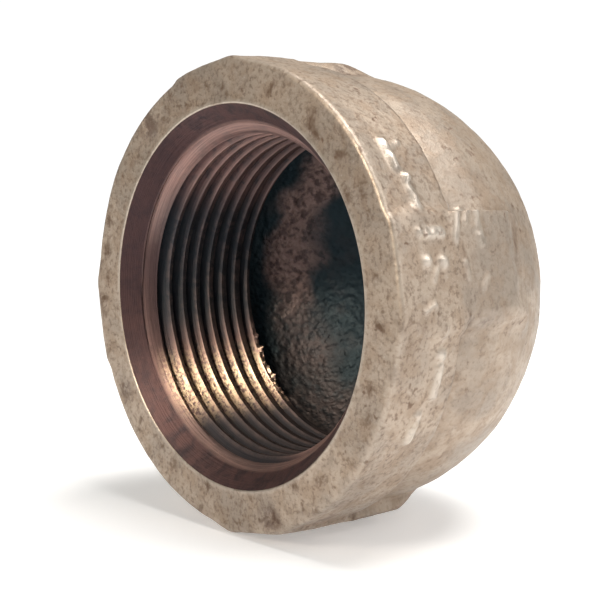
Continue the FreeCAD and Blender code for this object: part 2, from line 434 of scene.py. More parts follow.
@dataclass(frozen=True)
class Form:
    """Sizes of the cap and the surfaces that they set, in millimetres."""

    mouth_radius: float = 22.4
    flare_depth: float = 2.36
    lead_radius: float = 20.46
    lead_end: float = 4.31
    bore_radius: float = 19.05
    thread_end: float = 19.0
    band_radius: float = 27.35
    band_length: float = 10.2
    edge_radius: float = 0.7
    rim_radius: float = 0.12
    back_radius: float = 1.0
    neck_radius: float = 25.3
    waist_fillet: float = 0.55
    body_radius: float = 26.5
    dome_start: float = 17.0
    knuckle_radius: float = 20.5
    crown_angle: float = 80.0
    wall: float = 3.7
    coat: float = 0.09
    lug_clock: float = 10.0
    lug_flat: float = 27.47
    lug_half_width: float = 5.8
    lug_length: float = 18.2
    lug_slope: float = 30.0
    lug_top_blend: float = 0.5
    lug_fall: float = 4.0
    lug_side_slope: float = 7.0
    lug_under_slope: float = 1.6
    lug_band_slope: float = 0.8
    lug_band_fade: tuple[float, float] = (-1.6, 0.2)
    lug_side_blend: float = 0.8
    lug_under_blend: float = 2.2
    lug_wear: float = 0.45
    lug_wear_length: float = 2.6
    mark_unevenness: float = 0.22

    def crown(self, skin: float) -> tuple[float, float]:
        """Centre and radius of the crown, the given depth under the surface."""
        middle = self.body_radius - self.knuckle_radius
        centre = self.dome_start - middle * math.tan(math.radians(self.crown_angle))
        radius = self.knuckle_radius + middle / math.cos(math.radians(self.crown_angle))
        return centre, radius - skin

    def dome_rows(self, skin: float, counts: tuple[int, int]) -> Array:
        """The knuckle and crown, the given depth under the surface, up to the pole.

        Args:
            skin: the depth.
            counts: how many points on the knuckle and on the crown.

        Returns:
            Points (radius, y), ending short of the pole.
        """
        middle = self.body_radius - self.knuckle_radius
        centre, radius = self.crown(skin)
        knuckle_span, crown_span = (0.0, self.crown_angle), (self.crown_angle, 90.0)
        knuckle = self.knuckle_radius - skin
        return np.concatenate([
            arc(middle, self.dome_start, knuckle, knuckle_span, counts[0]),
            arc(0.0, centre, radius, crown_span, counts[1]),
        ])

    def pole(self, skin: float) -> Array:
        """The point of the dome on the axis, the given depth under the surface."""
        return np.array([0.0, sum(self.crown(skin)), 0.0])

    def chamber_rows(self) -> Array:
        """The chamber's bare wall, from where the bore breaks into it to near the pole."""
        wall = self.dome_rows(self.wall, (14, 6))
        start = float(np.interp(self.thread_end, wall[:, 1], wall[:, 0]))
        wall = wall[wall[:, 1] > self.thread_end + 0.3]
        return np.concatenate([[[start, self.thread_end]], wall])

    def waist_rows(self, count: int) -> Array:
        """The arc that draws in behind the band and swells out to the body's widest part."""
        depth = self.body_radius - self.neck_radius
        length = self.dome_start - self.band_length
        radius = (depth**2 + length**2) / (2.0 * depth)
        along = np.linspace(self.band_length + self.waist_fillet, self.dome_start, count, False)
        across = self.body_radius - radius + np.sqrt(radius**2 - (self.dome_start - along) ** 2)
        return np.stack([across, along], axis=1)

    def blank_rows(self) -> tuple[Array, Array]:
        """The outside's outline from the mouth's edge to just short of the pole.

        Returns:
            Points (radius, y), and how far each row follows the lugs, from 0 to 1.
        """
        edge, back, fillet = self.edge_radius, self.back_radius, self.waist_fillet
        corner = self.band_radius - edge
        shoulder = self.band_radius - back
        rim = self.rim_radius
        start = self.mouth_radius + rim
        lip = arc(start, rim, rim, (200.0, 270.0), 3)
        face = np.concatenate([lip, run((start, 0.0), (corner, 0.0), 10)])
        rows = [
            face,
            arc(corner, edge, edge, (-90.0, 0.0), 6),
            run((self.band_radius, edge), (self.band_radius, self.band_length - back), 50),
            arc(shoulder, self.band_length - back, back, (0.0, 90.0), 6),
            arc(self.neck_radius + fillet, self.band_length + fillet, fillet, (270.0, 180.0), 4),
            self.waist_rows(16),
            self.dome_rows(0.0, (40, 8)),
        ]
        follow = np.ones(sum(len(block) for block in rows))
        inward = face[:, 0] - face[0, 0]
        follow[: len(face)] = np.maximum(inward, 0.0) / (corner - face[0, 0])
        return np.concatenate(rows), follow

    def lug(self, angle: Array, along: Array) -> Array:
        """How far from the axis the lugs reach: flat tops, sloping backs and sides.

        The top is h / cos of the angle from the lug's middle. Beyond the half width its
        sides fall away, steeply above, softly below and most softly on the band. Its
        corners at the mouth are worn down.

        Args:
            angle: angles round the axis, in radians.
            along: distances behind the mouth face.

        Returns:
            The reach, well under the body between the lugs.
        """
        away = wrap(angle - math.radians(self.lug_clock), 0.5 * math.pi)
        slope = math.tan(math.radians(self.lug_slope))
        level = np.full_like(along, self.lug_flat)
        back = self.lug_flat - (along - self.lug_length) * slope
        foot = self.lug_length + (self.lug_flat - self.neck_radius) / slope
        height = soft_min(level, back, self.lug_top_blend)
        height = height - self.lug_fall * np.maximum(along - foot, 0.0)
        aside = np.abs(self.lug_flat * np.sin(away))
        top = height / np.cos(away)
        corner = math.hypot(self.lug_flat, self.lug_half_width)
        under = away < 0.0
        steep = np.where(under, self.lug_under_slope, self.lug_side_slope)
        start, end = (self.band_length + shift for shift in self.lug_band_fade)
        free = smooth_step(along, start, end)
        steep = self.lug_band_slope + (steep - self.lug_band_slope) * free
        side = corner + (self.lug_half_width - aside) * steep
        worn = (aside / self.lug_half_width) ** 4 * bell(along, self.lug_wear_length)
        blend = np.where(under, self.lug_under_blend, self.lug_side_blend)
        return soft_min(top, side, blend) - self.lug_wear * np.clip(worn, 0.0, 1.0)

    def ridges(self, angle: Array, along: Array) -> Array:
        """How far the casting marks and the runs of zinc rise: ridges with rounded ends.

        The height is exp(-d^3), with d the distance from the spine over the half width.

        Args:
            angle: angles round the axis, in radians.
            along: distances behind the mouth face.

        Returns:
            Heights in millimetres.
        """
        height = np.zeros_like(along)
        place = polar(np.full_like(along, self.band_radius), along, angle)
        uneven = 1.0 - self.mark_unevenness * (1.0 + Lumps(41, 1.3, 32).at(place))
        for ridge in RIDGES:
            half, width, tall = ridge.kind.value
            around = self.band_radius * wrap(angle - math.radians(ridge.clock), 2.0 * math.pi)
            forward = along - ridge.depth
            turn = math.radians(ridge.turn)
            spine = forward * math.cos(turn) + around * math.sin(turn)
            aside = around * math.cos(turn) - forward * math.sin(turn)
            past = np.maximum(np.abs(spine) - half, 0.0)
            reach = np.hypot(past, aside) / width
            height = np.maximum(height, tall * np.exp(-(reach**3.0)))
        return height * uneven

    def countersink(self, along: Array) -> Array:
        """The two cones that open the mouth, and the drilled bore behind them."""
        inner = (self.lead_radius - self.bore_radius) / (self.lead_end - self.flare_depth)
        outer = (self.mouth_radius - self.lead_radius) / self.flare_depth
        wide = self.lead_radius + (self.flare_depth - along) * outer
        lead = self.lead_radius + (self.flare_depth - along) * inner
        cone = np.where(along < self.flare_depth, wide, lead)
        return np.maximum(cone, self.bore_radius)


@dataclass(frozen=True)
class Thread:
    """The tapered thread, one V-shaped groove wound right-handed into the bore."""

    pitch: float = 2.2087
    root_radius: float = 20.66
    taper: float = 1.0 / 32.0
    half_root: float = 0.045
    phase: float = 21.2087
    flank: float = math.tan(math.radians(30.0))
    flank_steps: tuple[float, ...] = (-1.0, -0.94, -0.62, -0.3, -0.04)
    crest_steps: tuple[float, ...] = (0.1, 0.37, 0.63, 0.9)

    def half_width(self, along: Array, bore: float) -> Array:
        """Half the groove's width at the bore's wall, which narrows with depth."""
        return self.half_root + (self.root_radius - along * self.taper - bore) * self.flank

    def radius(self, angle: Array, along: Array) -> Array:
        """The groove's surface: the root less the distance from its middle over tan 30.

        Args:
            angle: angles round the axis, in radians.
            along: distances behind the mouth face.

        Returns:
            The radius cut by the groove, small between its turns.
        """
        middle = self.phase - self.pitch * angle / (2.0 * math.pi)
        away = np.abs(wrap(along - middle, self.pitch))
        root = self.root_radius - along * self.taper
        return root - np.maximum(away - self.half_root, 0.0) / self.flank

    def rows(self, angle: Array, front: float, back: float, bore: float) -> Array:
        """Depths of a grid whose rows follow the groove, from the back to the front.

        Each turn has rows at shares of the flank and of the crest, and a turn's rows at a
        full circle are the next turn's rows at the start.

        Args:
            angle: the columns' angles, in radians.
            front: the least depth wanted.
            back: the greatest depth wanted.
            bore: the radius of the bore.

        Returns:
            Depths, shape (rows, columns), from more than a turn past each end.
        """
        turns = math.ceil((back - front) / self.pitch) + 3
        first = self.phase + self.pitch * math.ceil((back - self.phase) / self.pitch + 1.0)
        wound = self.pitch * angle / (2.0 * math.pi)
        middle = first - self.pitch * np.arange(turns)[:, None] - wound
        half = self.half_width(np.clip(middle, front, back), bore)
        flank = np.array(self.flank_steps)
        shares = np.concatenate([-flank, flank[::-1]])
        groove = middle[:, None, :] + half[:, None, :] * np.sort(shares)[::-1][None, :, None]
        gap = self.pitch - 2.0 * half
        steps = np.array(self.crest_steps)[None, :, None]
        crest = middle[:, None, :] - half[:, None, :] - gap[:, None, :] * steps
        return np.concatenate([groove, crest], axis=1).reshape(-1, len(angle))

    @property
    def rows_in_turn(self) -> int:
        """How many rows of the grid lie in one turn."""
        return 2 * len(self.flank_steps) + len(self.crest_steps)


# ---------------------------------------------------------------- finishes


@dataclass(frozen=True)
class Signal:
    """A number carried by a shader socket, so that a finish reads as arithmetic."""

    graph: "Graph"
    socket: Any

    def _with(self, operation: str, first: Any, second: Any) -> "Signal":
        """One Math node on two values or sockets."""
        settings = {"operation": operation}
        return self.graph.value("ShaderNodeMath", settings, {0: first, 1: second})

    def __add__(self, other: Any) -> "Signal":
        """This value plus another."""
        return self._with("ADD", self, other)

    def __radd__(self, other: Any) -> "Signal":
        """Another value plus this one."""
        return self._with("ADD", other, self)

    def __sub__(self, other: Any) -> "Signal":
        """This value less another."""
        return self._with("SUBTRACT", self, other)

    def __rsub__(self, other: Any) -> "Signal":
        """Another value less this one."""
        return self._with("SUBTRACT", other, self)

    def __mul__(self, other: Any) -> "Signal":
        """This value times another."""
        return self._with("MULTIPLY", self, other)

    def __rmul__(self, other: Any) -> "Signal":
        """Another value times this one."""
        return self._with("MULTIPLY", other, self)

    def __pow__(self, other: Any) -> "Signal":
        """This value to a power."""
        return self._with("POWER", self, other)

    def rise(self, low: float, high: float) -> "Signal":
        """A smooth rise from 0 to 1 as this value goes from low to high.

        Args:
            low: where the rise starts.
            high: where it ends; less than low for a fall.

        Returns:
            The rise.
        """
        settings = {"interpolation_type": "SMOOTHSTEP"}
        if low > high:
            return 1.0 - self.rise(high, low)
        values = {"Value": self, "From Min": low, "From Max": high, "To Min": 0.0, "To Max": 1.0}
        return self.graph.value("ShaderNodeMapRange", settings, values)


class Graph:
    """The nodes of one finish, on Object coordinates measured in millimetres."""

    def __init__(self, name: str) -> None:
        """Start a material with its shader and its coordinates.

        Args:
            name: the material's name.
        """
        self.material = bpy.data.materials.new(name)
        self.material.use_nodes = True
        self.tree = self.material.node_tree
        self.tree.nodes.clear()
        self.shader = self.tree.nodes.new("ShaderNodeBsdfPrincipled")
        output = self.tree.nodes.new("ShaderNodeOutputMaterial")
        self.tree.links.new(self.shader.outputs[0], output.inputs[0])
        place = self.node("ShaderNodeTexCoord", {}, {}).outputs["Object"]
        scaling = {0: place, "Scale": 1.0 / MILLIMETRE}
        self.place = self.node("ShaderNodeVectorMath", {"operation": "SCALE"}, scaling).outputs[0]

    def node(self, kind: str, settings: dict[str, Any], values: dict[Any, Any]) -> Any:
        """Add a node.

        Args:
            kind: the node's type.
            settings: its own settings, which are set first.
            values: values or links for its sockets, by name or number.

        Returns:
            The node.
        """
        made = self.tree.nodes.new(kind)
        for key, value in settings.items():
            setattr(made, key, value)
        for key, value in values.items():
            socket = made.inputs[key]
            source = value.socket if isinstance(value, Signal) else value
            if isinstance(source, bpy.types.NodeSocket):
                self.tree.links.new(source, socket)
            else:
                socket.default_value = source
        return made

    def value(self, kind: str, settings: dict[str, Any], values: dict[Any, Any]) -> Signal:
        """Add a node and take its first output as a number."""
        return Signal(self, self.node(kind, settings, values).outputs[0])

    def noise(self, size: float, detail: float = 4.0, rough: float = 0.55, at: Any = None,
              warp: float = 0.0) -> Signal:
        """Smooth random mottling.

        Args:
            size: the largest feature, in millimetres.
            detail: how many finer octaves are added.
            rough: how strong each finer octave is.
            at: the coordinates, or None for the piece's own.
            warp: how much the pattern is pulled about.

        Returns:
            The mottling, about 0.5.
        """
        at = self.place if at is None else at
        values = {"Vector": at, "Scale": 1.0 / size, "Detail": detail, "Roughness": rough}
        return self.value("ShaderNodeTexNoise", {}, {**values, "Distortion": warp})

    def grains(self, size: float) -> Signal:
        """The distance to the nearest of many scattered spots, as a share of their spacing."""
        values = {"Vector": self.place, "Scale": 1.0 / size}
        return self.value("ShaderNodeTexVoronoi", {}, values)

    def attribute(self, name: str) -> Signal:
        """A number stored on the mesh."""
        node = self.node("ShaderNodeAttribute", {"attribute_name": name}, {})
        return Signal(self, node.outputs["Fac"])

    def mix(self, first: Any, second: Any, share: Any) -> Any:
        """A blend of two colours, as far towards the second as the share says."""
        values = {"Factor": share, 6: paint(first), 7: paint(second)}
        made = self.node("ShaderNodeMix", {"data_type": "RGBA"}, values)
        return made.outputs[2]

    def bump(self, height: Signal, depth: float) -> Any:
        """A bumped normal: the height, 0 to 1, is as deep as the given millimetres."""
        values = {"Height": height, "Distance": depth * MILLIMETRE, "Strength": 1.0}
        return self.node("ShaderNodeBump", {}, values).outputs[0]

    def finish(self, colour: Any, roughness: Any, metallic: Any, normal: Any) -> bpy.types.Material:
        """Feed the shader and return the material.

        Args:
            colour: the base colour.
            roughness: the roughness.
            metallic: how metallic the surface is.
            normal: the bumped normal.

        Returns:
            The finished material.
        """
        feeds = {"Base Color": colour, "Roughness": roughness, "Metallic": metallic}
        for name, source in {**feeds, "Normal": normal}.items():
            source = source.socket if isinstance(source, Signal) else source
            if isinstance(source, bpy.types.NodeSocket):
                self.tree.links.new(source, self.shader.inputs[name])
            else:
                self.shader.inputs[name].default_value = source
        return self.material


def paint(colour: Any) -> Any:
    """A colour as a socket takes it: a link as it is, three numbers with an alpha of 1."""
    return (*colour, 1.0) if isinstance(colour, tuple) and len(colour) == 3 else colour


def shade(red: int, green: int, blue: int) -> tuple[float, float, float]:
    """A linear colour from display values of 0 to 255."""
    levels = np.array([red, green, blue]) / 255.0
    low = levels / 12.92
    high = ((levels + 0.055) / 1.055) ** 2.4
    red_level, green_level, blue_level = np.where(levels <= 0.04045, low, high)
    return float(red_level), float(green_level), float(blue_level)


@dataclass(frozen=True)
class ZincFinish:
    """Old hot-dip galvanising: mottled warm grey, with brown stains and rust specks."""

    bright: tuple[float, float, float] = shade(178, 161, 144)
    warm: tuple[float, float, float] = shade(148, 125, 103)
    cool: tuple[float, float, float] = shade(151, 138, 125)
    stain: tuple[float, float, float] = shade(96, 72, 52)
    rust: tuple[float, float, float] = shade(74, 47, 33)
    speck: tuple[float, float, float] = shade(92, 60, 38)
    polish_and_highlight: tuple[float, float, float] = shade(214, 204, 192)
    metallic: float = 0.45
    pebble_depth: float = 0.16

    def make(self) -> bpy.types.Material:
        """Build the finish: mottling, stains, dirt and painted shade in the creases, specks,
        polish and a painted highlight on the edges and marks, and a pebbled surface.
        """
        graph = Graph("galvanised_zinc")
        broad = graph.noise(9.0, 3.0, 0.6, warp=0.6)
        middle = graph.noise(2.6, 4.0, 0.62, warp=0.4)
        fine = graph.noise(0.55, 3.0, 0.6)
        grain = graph.noise(0.22, 2.0, 0.6)
        colour = graph.mix(self.cool, self.bright, 0.2 + 0.8 * broad.rise(0.34, 0.6))
        colour = graph.mix(colour, self.warm, middle.rise(0.42, 0.66) * 0.5)
        band = 0.55 + 0.45 * graph.attribute("band")
        colour = graph.mix(colour, self.stain, fine.rise(0.46, 0.68) * band * 0.5)
        pale = grain.rise(0.56, 0.72) * fine.rise(0.5, 0.36)
        colour = graph.mix(colour, self.polish_and_highlight, pale * band * 0.3)
        face = graph.attribute("face")
        # Dirt and painted shade in the creases: the band's back step, the lugs' feet and seam.
        low = graph.attribute("crease_dirt_and_shade")
        dirt = graph.noise(3.4, 4.0, 0.62, warp=0.4)
        blotch = graph.noise(1.7, 2.0, 0.6, warp=0.3).rise(0.54, 0.66) * face * 0.25
        stains_and_crease_shade = dirt.rise(0.52, 0.74) * (0.3 + 0.4 * face) + low * dirt.rise(0.3, 0.6) * 0.8
        stains_and_crease_shade = stains_and_crease_shade + blotch
        dull = 0.06 + 0.08 * graph.attribute("band")
        colour = graph.mix(colour, self.stain, (stains_and_crease_shade + dull).rise(0.0, 1.0))
        # Polish and a painted highlight on the mouth's rim, the band's front edge and the casting
        # marks.
        worn = graph.attribute("worn")
        colour = graph.mix(colour, self.polish_and_highlight, worn * middle.rise(0.3, 0.55) * 0.7)
        specks = graph.noise(1.1, 2.0, 0.55).rise(0.6, 0.74)
        patch = graph.noise(6.5, 2.0, 0.5).rise(0.46, 0.62)
        rusty = graph.attribute("rust")
        colour = graph.mix(colour, self.speck, specks * (0.3 + 0.7 * patch) * 0.55)
        ragged = graph.noise(1.6, 5.0, 0.7).rise(0.36, 0.56)
        colour = graph.mix(colour, self.rust, rusty * ragged * 0.85)
        roughness = 0.34 + 0.3 * middle + 0.2 * stains_and_crease_shade - 0.16 * worn
        metallic = self.metallic * (1.0 - 0.8 * stains_and_crease_shade) * (1.0 - rusty)
        height = 0.5 * middle + 0.28 * fine + 0.1 * grain - 0.2 * specks * patch
        pebbles = graph.bump(height, self.pebble_depth)
        return graph.finish(colour, roughness, metallic, pebbles)


@dataclass(frozen=True)
class MachinedIronFinish:
    """Darkened purple-brown cut iron, ringed by the tool, with painted highlight, shade and glint.
    """

    dark: tuple[float, float, float] = shade(116, 90, 88)
    crest_highlight: tuple[float, float, float] = shade(190, 156, 146)
    oil_shade_tint: tuple[float, float, float] = shade(36, 52, 60)
    brown: tuple[float, float, float] = shade(62, 46, 48)
    glint_gold: tuple[float, float, float] = shade(222, 198, 166)
    metallic: float = 0.9
    tool_depth: float = 0.09

    def make(self) -> bpy.types.Material:
        """Build the finish: fine rings round the axis, grooves left darker than the crests'
        painted highlight, and torn crests.
        """
        graph = Graph("machined_iron")
        split = graph.node("ShaderNodeSeparateXYZ", {}, {0: graph.place})
        across, along, up = (Signal(graph, socket) for socket in split.outputs)
        radius = (across**2.0 + up**2.0) ** 0.5
        joined = {0: along * 5.5, 1: radius * 5.5, 2: 0.12 * across}
        rings = graph.node("ShaderNodeCombineXYZ", {}, joined).outputs[0]
        tool = graph.noise(1.0, 3.0, 0.6, at=rings)
        mottle = graph.noise(1.8, 5.0, 0.65, warp=0.5)
        crest = graph.attribute("crest")
        colour = graph.mix(self.oil_shade_tint, self.dark, 0.35 + 0.65 * mottle.rise(0.3, 0.62))
        # Painted highlight: the crests and the lead cone lighter than the grooves.
        colour = graph.mix(colour, self.crest_highlight, crest * (0.3 + 0.35 * tool.rise(0.35, 0.65)))
        oil_and_shade = graph.attribute("oil_and_shade")
        # Oil and painted shade: darker at the left, deeper in the bore and towards the bottom.
        colour = graph.mix(colour, self.oil_shade_tint, oil_and_shade * (0.64 + 0.34 * mottle.rise(0.28, 0.6)))
        torn = graph.noise(0.42, 4.0, 0.65)
        # Painted shade: the countersink and the lead cone's left side darker brown.
        colour = graph.mix(colour, self.brown, graph.attribute("brown"))
        # Painted glint: gold flecks low on the left of the thread, with lower roughness there.
        painted_glint = graph.attribute("painted_glint")
        colour = graph.mix(colour, self.glint_gold, painted_glint * torn.rise(0.4, 0.56) * 0.7)
        roughness = 0.44 + 0.16 * mottle + 0.1 * torn - 0.21 * painted_glint
        height = 0.65 * tool + 0.35 * torn
        return graph.finish(colour, roughness, self.metallic, graph.bump(height, self.tool_depth))


@dataclass(frozen=True)
class ChamberFinish:
    """The rough core-cast inside: sandy zinc over iron, brown where light is painted,
    and a painted dark teal shade elsewhere.
    """

    brown: tuple[float, float, float] = shade(160, 134, 128)
    umber: tuple[float, float, float] = shade(96, 78, 76)
    shade_teal: tuple[float, float, float] = shade(34, 54, 63)
    grit: tuple[float, float, float] = shade(36, 34, 36)
    metallic: float = 0.45
    grain_depth: float = 0.24

    def make(self) -> bpy.types.Material:
        """Build the finish: grains of the core's sand, brown where raised."""
        graph = Graph("rough_chamber")
        lump = graph.noise(1.1, 3.0, 0.55)
        sand = graph.grains(0.7)
        shade_mottle = graph.noise(7.0, 3.0, 0.5)
        # Painted light: the lit brown shows in a band, the rest gets the painted teal shade.
        painted_light = graph.attribute("painted_light")
        rusty = graph.mix(self.umber, self.brown, lump.rise(0.36, 0.6))
        # Painted shade: dark teal, mottled a little towards umber.
        shaded = graph.mix(self.shade_teal, self.umber, shade_mottle.rise(0.45, 0.7) * 0.3)
        colour = graph.mix(shaded, rusty, painted_light)
        colour = graph.mix(colour, self.grit, sand.rise(0.45, 0.1) * 0.12)
        roughness = 0.5 + 0.25 * lump
        height = 0.7 * lump + 0.3 * sand.rise(0.0, 0.7)
        return graph.finish(colour, roughness, self.metallic, graph.bump(height, self.grain_depth))


# ---------------------------------------------------------------- the pieces


@dataclass(frozen=True)
class RustPatch:
    """A patch where rust has broken through the zinc."""

    place: tuple[float, float, float]
    reach: float
    strength: float

    def at(self, points: Array) -> Array:
        """How rusty points are: the strength, fading from 0.3 of the reach to all of it."""
        distance = np.linalg.norm(points - np.array(self.place), axis=-1)
        return self.strength * (1.0 - smooth_step(distance, 0.3 * self.reach, self.reach))


RUST = (
    RustPatch((-15.5, 0.0, 20.5), 3.0, 0.8),
    RustPatch((7.5, 0.0, -24.5), 2.6, 0.75),
    RustPatch((12.5, 3.0, -24.5), 3.0, 0.6),
    RustPatch((3.0, 17.0, 27.5), 3.4, 1.0),
    RustPatch((-21.0, 0.0, -13.5), 1.8, 0.7),
    RustPatch((5.0, 16.0, -27.5), 3.0, 0.8),
    RustPatch((26.5, 13.5, -1.0), 1.8, 0.4),
)


@dataclass
class OutsideSkin:
    """The zinc that covers the outside of the casting, lugs and casting marks included.

    It is roughened by sinking it: each of its fields of lumps has the depth it sinks to.
    The rows at the mouth's edge stay smooth, because the countersink meets them there.
    """

    form: Form
    columns: int = 640
    coarse_rows: int = 4
    smooth_rows: int = 4
    deepest: float = 0.22
    lumps: tuple[tuple[Lumps, float], ...] = (
        (Lumps(11, 11.0), 0.055),
        (Lumps(12, 3.6, 36), 0.028),
        (Lumps(13, 1.4, 40), 0.013),
    )
    face_calm: float = 0.45
    foot_blend: float = 0.45
    under_blend: float = 1.6
    pole_gap: float = 0.25
    pole_rise: float = 0.004

    def angles(self) -> Array:
        """The columns, closer together at the lugs' sides and under the casting marks."""
        half = math.degrees(math.asin(self.form.lug_half_width / self.form.lug_flat))
        lugs = [self.form.lug_clock + 90.0 * number for number in range(4)]
        sides = [(lug + turn, 4.0, 1.6) for lug in lugs for turn in (-half, half)]
        return ring_angles(self.columns, [(4.0, 48.0, 1.1), *sides])

    def depths(self, along: Array, on_lug: Array) -> Array:
        """Depths of the points: on a lug, the rows of the band's back are spread out evenly.

        Args:
            along: the rows' depths between the lugs, shape (rows, 1).
            on_lug: how much each column is on a lug, shape (1, columns).

        Returns:
            Depths, shape (rows, columns).
        """
        form = self.form
        number = np.arange(len(along), dtype=float)[:, None]
        first = int(np.argmax(along > form.band_length - form.back_radius - 0.3))
        last = int(np.argmax(along > form.band_length + 1.4))
        spread = np.interp(number, [first, last], [along[first, 0], along[last, 0]])
        spread = np.where((number >= first) & (number <= last), spread, along)
        return along + (spread - along) * on_lug

    def smooth_surface(self) -> tuple[Array, Array, Array, dict[str, Array]]:
        """The surface before it is roughened, and what the finish needs to know of it.

        The radius is the blank's or the lug's, whichever is larger, blended where they
        meet and more softly under a lug, plus the casting marks.

        Returns:
            Radii, depths, angles, and how much each point is face, crease (dirt and painted
            shade), worn edge and mark (wear and painted highlight), and band.
        """
        form = self.form
        rows, follow = form.blank_rows()
        angle = self.angles()[None, :]
        blank, along = rows[:, :1], rows[:, 1:]
        aside = wrap(angle - math.radians(form.lug_clock), 0.5 * math.pi) * form.lug_flat
        side = form.lug_half_width
        on_lug = 1.0 - smooth_step(np.abs(aside), side - 0.2, side + 0.5)
        base = np.where(along < form.band_length - form.back_radius, form.band_radius, blank)
        base, depth, angle = np.broadcast_arrays(base, self.depths(along, on_lug), angle)
        reach = form.lug(angle, np.maximum(depth, form.edge_radius))
        under = smooth_step(-aside, 2.5, 6.0) * np.ones_like(base)
        raised = soft_max(base, reach, self.foot_blend + self.under_blend * under)
        marks = form.ridges(angle, depth)
        radius = blank + (raised - base) * follow[:, None] + marks
        face = (1.0 - smooth_step(along, 0.0, 0.6)) * np.ones_like(radius)
        back = depth - form.band_length
        step = bell(back - 0.2, 0.7) * (1.0 - on_lug)
        foot = bell(reach - base, 0.35) * (back > 0.0) * (1.0 - 0.9 * under)
        seam = 0.45 * bell(back - 0.1, 0.3) * on_lug
        # The crease measure: partly dirt, partly painted shade at the band's back step, the lugs'
        # feet and their seam.
        crease_dirt_and_shade = np.clip(step + 0.7 * foot + seam, 0.0, 1.0)
        band = 1.0 - smooth_step(depth, form.band_length - 1.0, form.band_length + 2.0)
        rim = bell(blank - form.mouth_radius, 0.16) * (along < form.edge_radius)
        edge = bell(along - 0.25, 0.3) * (blank > form.band_radius - 0.8)
        high = np.clip(marks / 0.3, 0.0, 1.0)
        # Wear and a painted highlight: the mouth's rim, the band's front edge and the raised marks.
        worn = np.clip(0.8 * rim + 0.3 * edge + 0.9 * high, 0.0, 1.0)
        measures = {"face": face, "crease_dirt_and_shade": crease_dirt_and_shade, "worn": worn, "band": band}
        return radius, depth, angle, measures

    def roughen(self, points: Array, face: Array) -> Array:
        """Sink the surface by soft lumps of three sizes, so it never grows.

        Args:
            points: the smooth surface.
            face: how much each point belongs to the flat face.

        Returns:
            The roughened surface.
        """
        sink = sum(depth * (1.0 + lumps.at(points)) for lumps, depth in self.lumps)
        sink = np.clip(sink * (1.0 - self.face_calm * face), 0.0, self.deepest)
        rough = points - grid_normals(points) * sink[..., None]
        rough[: self.smooth_rows] = points[: self.smooth_rows]
        return rough

    def inner_rows(self, radius: Array, depth: Array, angle: Array) -> Array:
        """A coarse surface one coat below, never above the fine one: the least radius nearby.

        Args:
            radius: the fine surface's radii.
            depth: its depths.
            angle: its angles.

        Returns:
            Points of the coarse surface, from the mouth to just short of the pole.
        """
        shifts = range(-COARSE_STEP, COARSE_STEP + 1)
        low = np.minimum.reduce([np.roll(radius, shift, axis=1) for shift in shifts])
        kept = np.arange(self.coarse_rows, len(low), self.coarse_rows)
        near = range(-self.coarse_rows, self.coarse_rows + 1)
        least = np.minimum.reduce([low[np.clip(kept + k, 0, len(low) - 1)] for k in near])
        least = np.where(depth[kept] < self.form.dome_start, least, low[kept])
        cover = self.form.coat + self.deepest
        shape = polar(least, depth[kept], angle[kept])[:, ::COARSE_STEP]
        inner = shape - grid_normals(shape) * cover
        inner[..., 1] = np.maximum(inner[..., 1], cover)
        rim = self.form.countersink(np.array(self.form.coat))
        first = polar(rim, self.form.coat, angle[:1, ::COARSE_STEP])
        return np.concatenate([first, inner])

    def surfaces(self) -> tuple[Array, Array, dict[str, Array]]:
        """The rough outer surface, the coarse inner one, and the finish's numbers."""
        radius, depth, angle, measures = self.smooth_surface()
        outer = self.roughen(polar(radius, depth, angle), measures["face"])
        measures["rust"] = np.maximum.reduce([patch.at(outer) for patch in RUST])
        return outer, self.inner_rows(radius, depth, angle), measures

    def build(self, limits: tuple[Array, Array]) -> tuple[bpy.types.Object, Array]:
        """Make the closed skin.

        Args:
            limits: the lowest and highest corners that it may reach, in millimetres.

        Returns:
            The object, and the coarse inner surface that the casting fills.
        """
        outer, inner, measures = self.surfaces()
        outer = np.clip(outer, *limits)
        apex = self.form.pole(0.0)[1]
        shell = Shell()
        coarse = shell.add(inner[::-1])
        shell.pole(coarse[0], np.array([0.0, apex - self.pole_gap, 0.0]), outward=False)
        shell.grid(coarse)
        fine = shell.add(outer)
        shell.reduce(fine[0], coarse[-1], fine_first=False)
        shell.grid(fine)
        tip = float(outer[-1, :, 1].mean()) + self.pole_rise
        shell.pole(fine[-1], np.array([0.0, min(tip, apex), 0.0]), outward=True)
        made = shell.build("zinc_skin")
        for name, values in measures.items():
            whole = np.zeros(shell.count)
            whole[fine.reshape(-1)] = values.reshape(-1)
            set_attribute(made, name, whole)
        return made, inner


